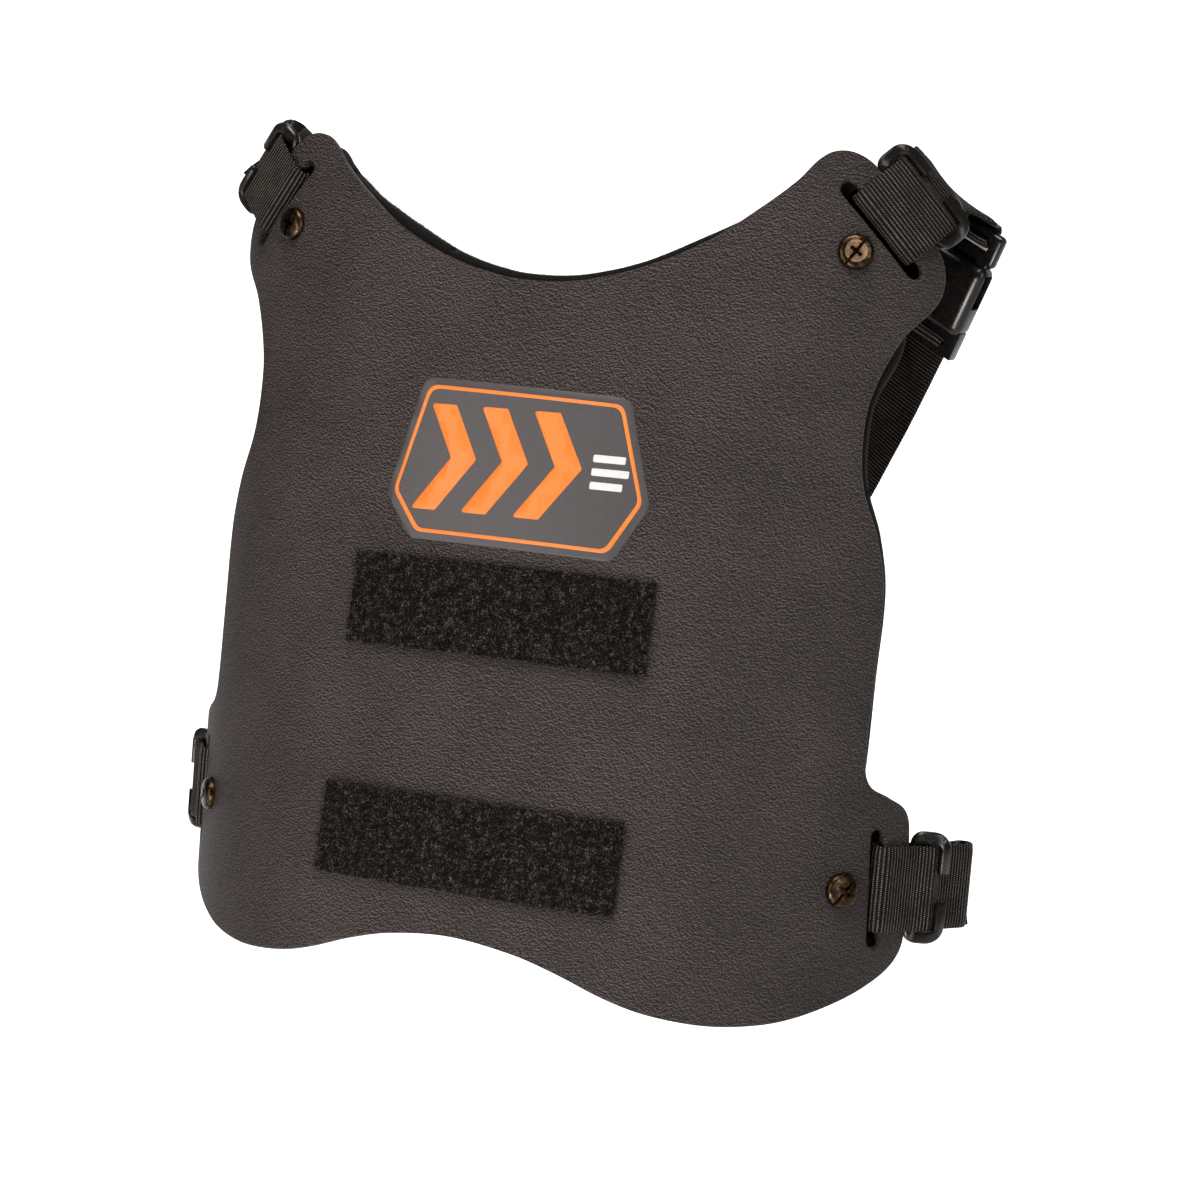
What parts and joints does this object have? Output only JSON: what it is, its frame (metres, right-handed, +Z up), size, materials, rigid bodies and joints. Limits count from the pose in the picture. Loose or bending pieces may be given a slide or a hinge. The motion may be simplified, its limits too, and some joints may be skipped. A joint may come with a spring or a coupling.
{
  "type": "chest protector for sport",
  "caption": "Moulded chest plate curved round the chest with a foam pad behind it, loop strips on its front and a crossed webbing harness with sliders and a side release buckle.",
  "frame": {"origin": "middle of the pad's back, where it rests on the chest, at the middle of the plate's height", "axes": "+X towards the right of the picture, +Y from the plate back into the chest, +Z up"},
  "size_m": [0.2676, 0.1299, 0.2624],
  "materials": {
    "shell": "fine leather grain",
    "pad": "napped fabric over foam",
    "loop": "napped loop pile",
    "screw": "dark bronze with a worn copper coloured middle",
    "slider": "black, with worn edges",
    "webbing": "ribbed weave",
    "buckle": "semi gloss"
  },
  "bodies": {
    "root": {"shell": "shell", "pad": "pad", "upper_loop_strip": "loop", "lower_loop_strip": "loop", "shoulder_screw_left": "screw", "shoulder_screw_right": "screw", "waist_screw_left": "screw", "waist_screw_right": "screw", "shoulder_slider_left": "slider", "shoulder_slider_right": "slider", "waist_slider_left": "slider", "waist_slider_right": "slider", "webbing_left_shoulder": "webbing", "webbing_right_front": "webbing", "webbing_right_back": "webbing", "buckle_plug": "buckle", "buckle_socket": "buckle"}
  },
  "joints": []
}
